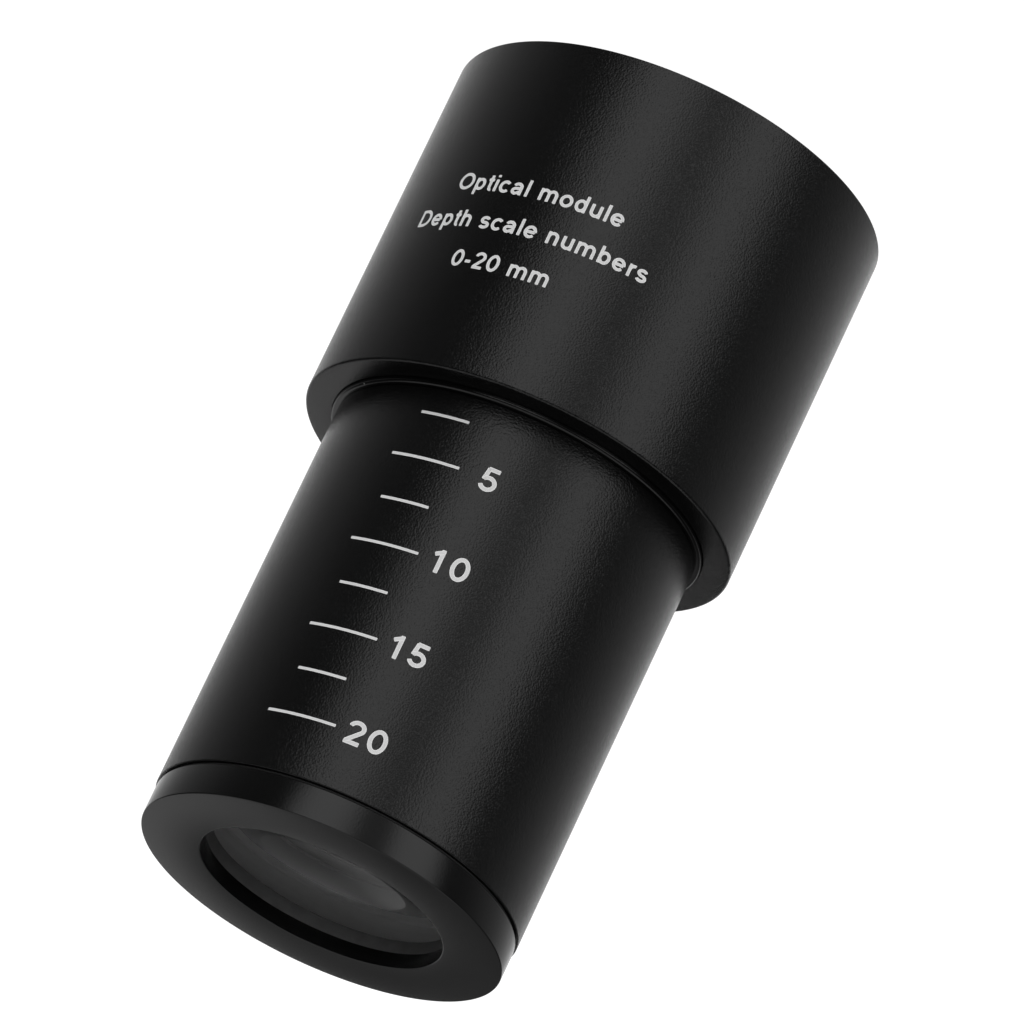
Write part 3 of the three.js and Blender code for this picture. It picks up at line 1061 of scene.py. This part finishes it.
@dataclass
class NoseCell:
    """The lens cell with its seal ring: head, lip and threaded sleeve."""

    thread_radius: float = 8.7 * MM
    threaded_length: float = 3.4 * MM
    relief_width: float = 0.6 * MM
    lead_in: float = 0.3 * MM
    pilot_radius: float = 8.4 * MM
    pocket: float = 7.55 * MM
    lip: float = 0.82 * MM
    edge: float = 0.06 * MM
    ring_thread_length: float = 2.6 * MM
    ring_thread_depth: float = 0.2 * MM
    seal_bore: float = 8.8 * MM
    seal_bulge: float = 0.13 * MM

    def housing(self) -> bpy.types.Mesh:
        """The cell as one turned shell: male thread outside, lens pocket and ring thread inside."""
        low, high, outside = span("nose_cell")
        head = level("nose_seal_ring", True) + SEATED_GAP
        relief = level("graduated_barrel", True) - self.relief_width
        male = Thread(relief - self.threaded_length + self.lead_in, relief, FINE_PITCH, FINE_DEPTH, Cut.MALE)
        female = Thread(low, low + self.ring_thread_length, FINE_PITCH, self.ring_thread_depth, Cut.FEMALE)
        section = HalfSection()
        section.corner(self.pilot_radius, low)
        section.corner(self.pilot_radius, relief - self.threaded_length)
        section.threaded(self.thread_radius, male, rising=True)
        section.corner(self.pilot_radius, relief).corner(self.pilot_radius, head)
        section.arc((outside - self.edge, head + self.edge), self.edge, -90.0, 0.0)
        section.arc((outside - self.edge, high - self.edge), self.edge, 0.0, 90.0)
        section.arc((APERTURE + self.edge, high - self.edge), self.edge, 90.0, 180.0)
        section.corner(APERTURE, high - self.lip).corner(self.pocket, high - self.lip)
        section.threaded(self.pocket, female, rising=False)
        return section.turned("cell_housing")

    def seal(self) -> bpy.types.Mesh:
        """The thin rubber ring between the barrel and the cell's head, with a rounded rim."""
        low, high, outside = span("nose_seal_ring")
        half = (high - low) / 2
        section = HalfSection()
        section.corner(self.seal_bore, low)
        section.arc((outside + self.seal_bulge - half, low + half), half, -90.0, 90.0, steps=8)
        section.corner(self.seal_bore, high)
        return section.turned("seal_ring")

    def build(self, finishes: "Finishes") -> None:
        """Builds, dresses and places the cell and its seal."""
        BENCH.put(self.seal(), finishes.rubber, "nose_seal", node="nose_seal_ring")
        BENCH.put(self.housing(), finishes.satin, "lens_cell", node="nose_cell")


@dataclass
class LensStack:
    """What the cell holds: shim, two elements, slip ring and retaining ring."""

    glass_radius: float = 7.5 * MM
    front_curve: float = 22.0 * MM
    cement_rim: float = 6.75 * MM
    cement_curve: float = 17.0 * MM
    rear_curve: float = 48.0 * MM
    bevel: float = 0.12 * MM
    slot_width: float = 1.0 * MM
    slot_depth: float = 0.6 * MM
    wall_lean: float = 1e-4
    ring_bore: float = 6.3 * MM
    ring_columns: int = 180
    slip_bore: float = 6.5 * MM
    shim_edge: float = 0.02 * MM
    slip_edge: float = 0.03 * MM

    @staticmethod
    def sag(curve: float, radius: float) -> float:
        """Depth of a spherical face of a given curve at a given radius."""
        return curve - math.sqrt(curve**2 - radius**2)

    def front_element(self) -> bpy.types.Mesh:
        """The front element, hollow on both faces, with bevelled ground rims."""
        low, high = level("front_lens", False), level("front_lens", True)
        front_vertex = high - self.sag(self.front_curve, APERTURE)
        cement_vertex = low + self.sag(self.cement_curve, self.cement_rim)
        section = HalfSection()
        section.dish(cement_vertex, self.cement_curve, self.cement_rim, -1.0, outwards=True)
        section.corner(self.glass_radius - self.bevel, low).corner(self.glass_radius, low + self.bevel)
        section.corner(self.glass_radius, high - self.bevel).corner(self.glass_radius - self.bevel, high)
        section.dish(front_vertex, self.front_curve, APERTURE, 1.0, outwards=False)
        return section.turned("lens_front_element", GLASS_COLUMNS)

    def rear_element(self) -> bpy.types.Mesh:
        """The rear element, which fills the front one's hollow."""
        low, shoulder = level("rear_lens", False), level("front_lens", False) - SEATED_GAP
        cement_vertex = shoulder + self.sag(self.cement_curve, self.cement_rim)
        rear_vertex = low + self.sag(self.rear_curve, self.cement_rim)
        section = HalfSection()
        section.dish(rear_vertex, self.rear_curve, self.cement_rim, -1.0, outwards=True)
        section.corner(self.glass_radius - self.bevel, low).corner(self.glass_radius, low + self.bevel)
        section.corner(self.glass_radius, shoulder)
        section.dish(cement_vertex, self.cement_curve, self.cement_rim, -1.0, outwards=False)
        return section.turned("lens_rear_element", GLASS_COLUMNS)

    def spanner_ring(self) -> bpy.types.Mesh:
        """The retaining ring: a rectangular section whose bottom steps up across two slots.

        The angles are even but for a close pair at each slot wall, so the walls stand straight.
        """
        low, high, outside = span("lens_retaining_ring")
        bore = self.ring_bore
        half = math.asin(self.slot_width / (outside + bore))
        walls = [centre + side * half + nudge for centre in (0.0, math.pi) for side in (-1, 1)
                 for nudge in (-self.wall_lean, self.wall_lean)]
        even = np.arange(self.ring_columns) * TURN / self.ring_columns
        angle = np.sort(np.mod(np.concatenate([even, walls]), TURN))
        off = np.abs(np.mod(angle + math.pi / 2, math.pi) - math.pi / 2)
        bottom = low + np.where(off < half, self.slot_depth, 0.0)
        radius = np.array([bore, outside, outside, bore])[:, None] + 0.0 * angle
        height = np.stack([bottom, bottom, high + 0.0 * angle, high + 0.0 * angle])
        points = np.stack([radius * np.cos(angle), radius * np.sin(angle), height], axis=-1)
        return mesh_from_grid("spanner_ring", points)

    def build(self, finishes: "Finishes") -> None:
        """Builds, dresses and places the lens stack."""
        low, high, _ = span("lens_front_shim")
        shim = plain_ring("shim_ring", APERTURE, self.glass_radius, low, high, self.shim_edge)
        low, high, outside = span("lens_slip_ring")
        slip = plain_ring("slip_washer", self.slip_bore, outside, low, high, self.slip_edge)
        BENCH.put(shim, finishes.shim, "lens_cell", node="lens_front_shim")
        BENCH.put(self.front_element(), finishes.crown, "lens_cell", node="front_lens")
        BENCH.put(self.rear_element(), finishes.flint, "lens_cell", node="rear_lens")
        BENCH.put(slip, finishes.matt, "slip_ring", node="lens_slip_ring")
        BENCH.put(self.spanner_ring(), finishes.matt, "retainer", node="lens_retaining_ring")


@dataclass(frozen=True)
class Finishes:
    """Every material of the part."""

    body: bpy.types.Material
    barrel: bpy.types.Material
    satin: bpy.types.Material
    matt: bpy.types.Material
    rubber: bpy.types.Material
    shim: bpy.types.Material
    crown: bpy.types.Material
    flint: bpy.types.Material
    mark: bpy.types.Material

    @classmethod
    def written(cls) -> "Finishes":
        """Writes each material once and returns the set."""
        return cls(
            body=BlastedAnodise("anodised_body").material(),
            barrel=BlastedAnodise("anodised_barrel").material(),
            satin=TurnedAnodise("anodised_ring").material(),
            matt=MattBlack("matt_black").material(),
            rubber=SoftRubber("rubber_seal").material(),
            shim=DullShim("grey_shim").material(),
            crown=PolishedGlass("crown_glass", 1.517, 6.6 * MM).material(),
            flint=PolishedGlass("flint_glass", 1.62, 6.8 * MM, tint=(0.96, 0.96, 0.965)).material(),
            mark=LaserMark("laser_mark").material())


# ---------------------------------------------------------------- studio


@dataclass(frozen=True)
class SoftStrip:
    """A tall soft light seen as a smooth band at one azimuth, in degrees."""

    azimuth: float
    half_width: float
    strength: float


@dataclass
class Studio:
    """Camera, pale floor and a white studio: a backdrop behind the part and soft strips in front."""

    aim: tuple[float, float, float] = (-0.30 * MM, 0.0, 20.49 * MM)
    distance: float = 578.35 * MM
    elevation: float = 22.10
    roll: float = -154.50
    lens: float = 406.6
    sensor: float = 36.0
    floor_size: float = 4.0
    floor_drop: float = 0.02 * MM
    floor_glow: float = 1.0
    floor_paint: float = 0.40
    strips: tuple[SoftStrip, ...] = (
        SoftStrip(-70.0, 16.0, 1.02), SoftStrip(-130.0, 14.3, 0.96), SoftStrip(-103.0, 14.0, 0.20))
    strip_softness: float = 1.6
    strip_fade: tuple[float, float] = (0.25, 0.05)
    backdrop_turn: float = -1.0
    backdrop_strength: float = 1.2
    backdrop_upper: float = 0.095
    backdrop_fade: tuple[float, float] = (0.16, -0.06)
    backdrop_stops: tuple[tuple[float, float], ...] = (
        (0.0, 0.96), (0.061, 0.76), (0.133, 0.50), (0.20, 0.39), (0.267, 0.29), (0.333, 0.22),
        (0.40, 0.175), (0.467, 0.125), (0.533, 0.065), (0.60, 0.031), (0.68, 0.017), (1.0, 0.012))
    overhead_strength: float = 0.5
    overhead_fade: tuple[float, float] = (0.55, 0.85)
    card_centre: tuple[float, float, float] = (60.0 * MM, 150.0 * MM, 90.0 * MM)
    card_size: float = 130.0 * MM
    card_radiance: float = 0.29
    card_fade: tuple[float, float] = (1.0, 0.3)
    fill_centre: tuple[float, float, float] = (0.0, -420.0 * MM, 170.0 * MM)
    fill_size: float = 400.0 * MM
    fill_radiance: float = 0.66
    fill_tilt: float = 68.0

    def camera(self) -> None:
        """Places the camera: back from the aim along the elevation, then rolled about its own axis."""
        tilt = math.radians(self.elevation)
        forward = Vector((0.0, math.cos(tilt), -math.sin(tilt)))
        data = bpy.data.cameras.new("camera")
        data.lens, data.sensor_width = self.lens, self.sensor
        data.clip_start, data.clip_end = 0.05, 20.0
        holder = bpy.data.objects.new("camera", data)
        turn = forward.to_track_quat("-Z", "Y").to_matrix() @ Matrix.Rotation(math.radians(self.roll), 3, "Z")
        holder.matrix_world = Matrix.Translation(Vector(self.aim) - forward * self.distance) @ turn.to_4x4()
        bpy.context.scene.collection.objects.link(holder)
        bpy.context.scene.camera = holder

    @staticmethod
    def sheet_of_light(name: str, places: np.ndarray, glow: Callable[[Sheet], Any],
                       over: tuple[str, float]) -> bpy.types.Object:
        """A four-cornered plane of the studio, which adds a glow to another shader.

        Args:
            name: Name of the plane and its material.
            places: Its four corners.
            glow: Writes the strength of its light.
            over: The other shader's node type and grey.

        Returns:
            The plane.
        """
        mesh = bpy.data.meshes.new(name)
        mesh.from_pydata(places.tolist(), [], [(0, 1, 2, 3)])
        material = bpy.data.materials.new(name)
        material.use_nodes = True
        sheet = Sheet(material.node_tree)
        shine = sheet.emission(glow(sheet))
        other = sheet.node(over[0], None, {"Color": grey(over[1])})
        sheet.end(sheet.node("ShaderNodeAddShader", None, {0: shine, 1: other}))
        mesh.materials.append(material)
        plane = bpy.data.objects.new(name, mesh)
        bpy.context.scene.collection.objects.link(plane)
        return plane

    def floor(self) -> None:
        """A pale floor that the part stands on; glossy rays pass it, so the studio shows in the metal."""
        places = self.floor_size / 2 * np.array([(-1, -1, 0), (1, -1, 0), (1, 1, 0), (-1, 1, 0)])
        places = places - (0.0, 0.0, self.floor_drop)
        paint = ("ShaderNodeBsdfDiffuse", self.floor_paint)
        plane = self.sheet_of_light("studio_floor", places, lambda sheet: self.floor_glow, paint)
        plane.visible_glossy = False
        plane.visible_shadow = False
        plane.visible_transmission = False

    def world(self) -> None:
        """The studio as light from all round, worked out from the direction alone.

        A white backdrop behind the part (+Y) falls off towards the front, soft strips stand in front, and a
        large soft panel hangs overhead.
        """
        world = bpy.data.worlds.new("studio")
        world.use_nodes = True
        bpy.context.scene.world = world
        sheet = Sheet(world.node_tree)
        x, y, z = sheet.split(sheet.node("ShaderNodeTexCoord", output="Generated"))
        flat = (x * x + y * y) ** 0.5 + 1e-6
        behind = sheet.node("ShaderNodeMath", {"operation": "ARCTAN2"}, {0: x, 1: y}) * (180.0 / math.pi)
        away = sheet.node("ShaderNodeMath", {"operation": "ABSOLUTE"}, {0: behind - self.backdrop_turn})
        falloff = sheet.node("ShaderNodeValToRGB", {"stops": self.backdrop_stops}, {0: away / 180.0})
        backdrop = self.backdrop_strength * falloff
        low_part = sheet.window(z, *self.backdrop_fade)
        light = backdrop * (self.backdrop_upper + low_part * (1.0 - self.backdrop_upper))
        for strip in self.strips:
            angle = math.radians(strip.azimuth)
            facing = (x * math.cos(angle) + y * math.sin(angle)) / flat
            edge = math.radians(strip.half_width)
            band = sheet.window(facing, math.cos(edge * self.strip_softness), 1.0)
            light = light + band * sheet.window(z, *self.strip_fade) * strip.strength
        light = light + sheet.window(z, *self.overhead_fade) * self.overhead_strength
        seen = sheet.node("ShaderNodeLightPath", output="Is Camera Ray")
        shown = light * (1.0 - seen) + seen
        glow = sheet.node("ShaderNodeBackground", None, {"Color": grey(1.0), "Strength": shown})
        sheet.end(glow, "ShaderNodeOutputWorld")

    def card(self) -> None:
        """A soft panel close behind the part, off to one side, which grades the light on the flat faces.

        Its glow is full in the middle and fades to none at its edges, and it hides nothing behind it.
        """
        half = self.card_size / 2
        places = self.card_centre + half * np.array([(-1, 0, -1), (1, 0, -1), (1, 0, 1), (-1, 0, 1)])
        clear = ("ShaderNodeBsdfTransparent", 1.0)
        plane = self.sheet_of_light("side_card", places, self.card_glow, clear)
        plane.visible_camera = False

    def card_glow(self, sheet: Sheet) -> Wire:
        """The card's light: full in its middle, none at its edges."""
        x, _, z = sheet.split(sheet.object_place())
        half = self.card_size / 2
        across, up = (x - self.card_centre[0]) / half, (z - self.card_centre[2]) / half
        faded = sheet.window(across * across, *self.card_fade) * sheet.window(up * up, *self.card_fade)
        return faded * self.card_radiance

    def fill(self) -> None:
        """A soft light from the front that only matt surfaces show, so the marks come up pale."""
        data = bpy.data.lights.new("front_fill", "AREA")
        data.size = self.fill_size
        data.energy = self.fill_radiance * math.pi * self.fill_size**2
        holder = bpy.data.objects.new("front_fill", data)
        holder.location = self.fill_centre
        holder.rotation_euler = (math.radians(self.fill_tilt), 0.0, 0.0)
        holder.visible_camera = False
        holder.visible_glossy = False
        holder.visible_transmission = False
        bpy.context.scene.collection.objects.link(holder)

    def build(self) -> None:
        """Sets up the whole studio."""
        bpy.context.scene.view_settings.view_transform = "Standard"
        self.camera()
        self.floor()
        self.world()
        self.card()
        self.fill()


def corners(box: tuple[Vector, Vector]) -> list[list[float]]:
    """A box's two corners as plain lists."""
    return [list(corner) for corner in box]


def main() -> None:
    """Builds the part's looks around the frame and the studio around the part."""
    logging.basicConfig(level=logging.INFO, format="%(name)s: %(message)s")
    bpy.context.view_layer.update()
    Studio().build()
    finishes = Finishes.written()
    for assembly in (CameraEndBody(), GraduatedBarrel(), NoseCell(), LensStack()):
        assembly.build(finishes)


if __name__ == "__main__":
    main()
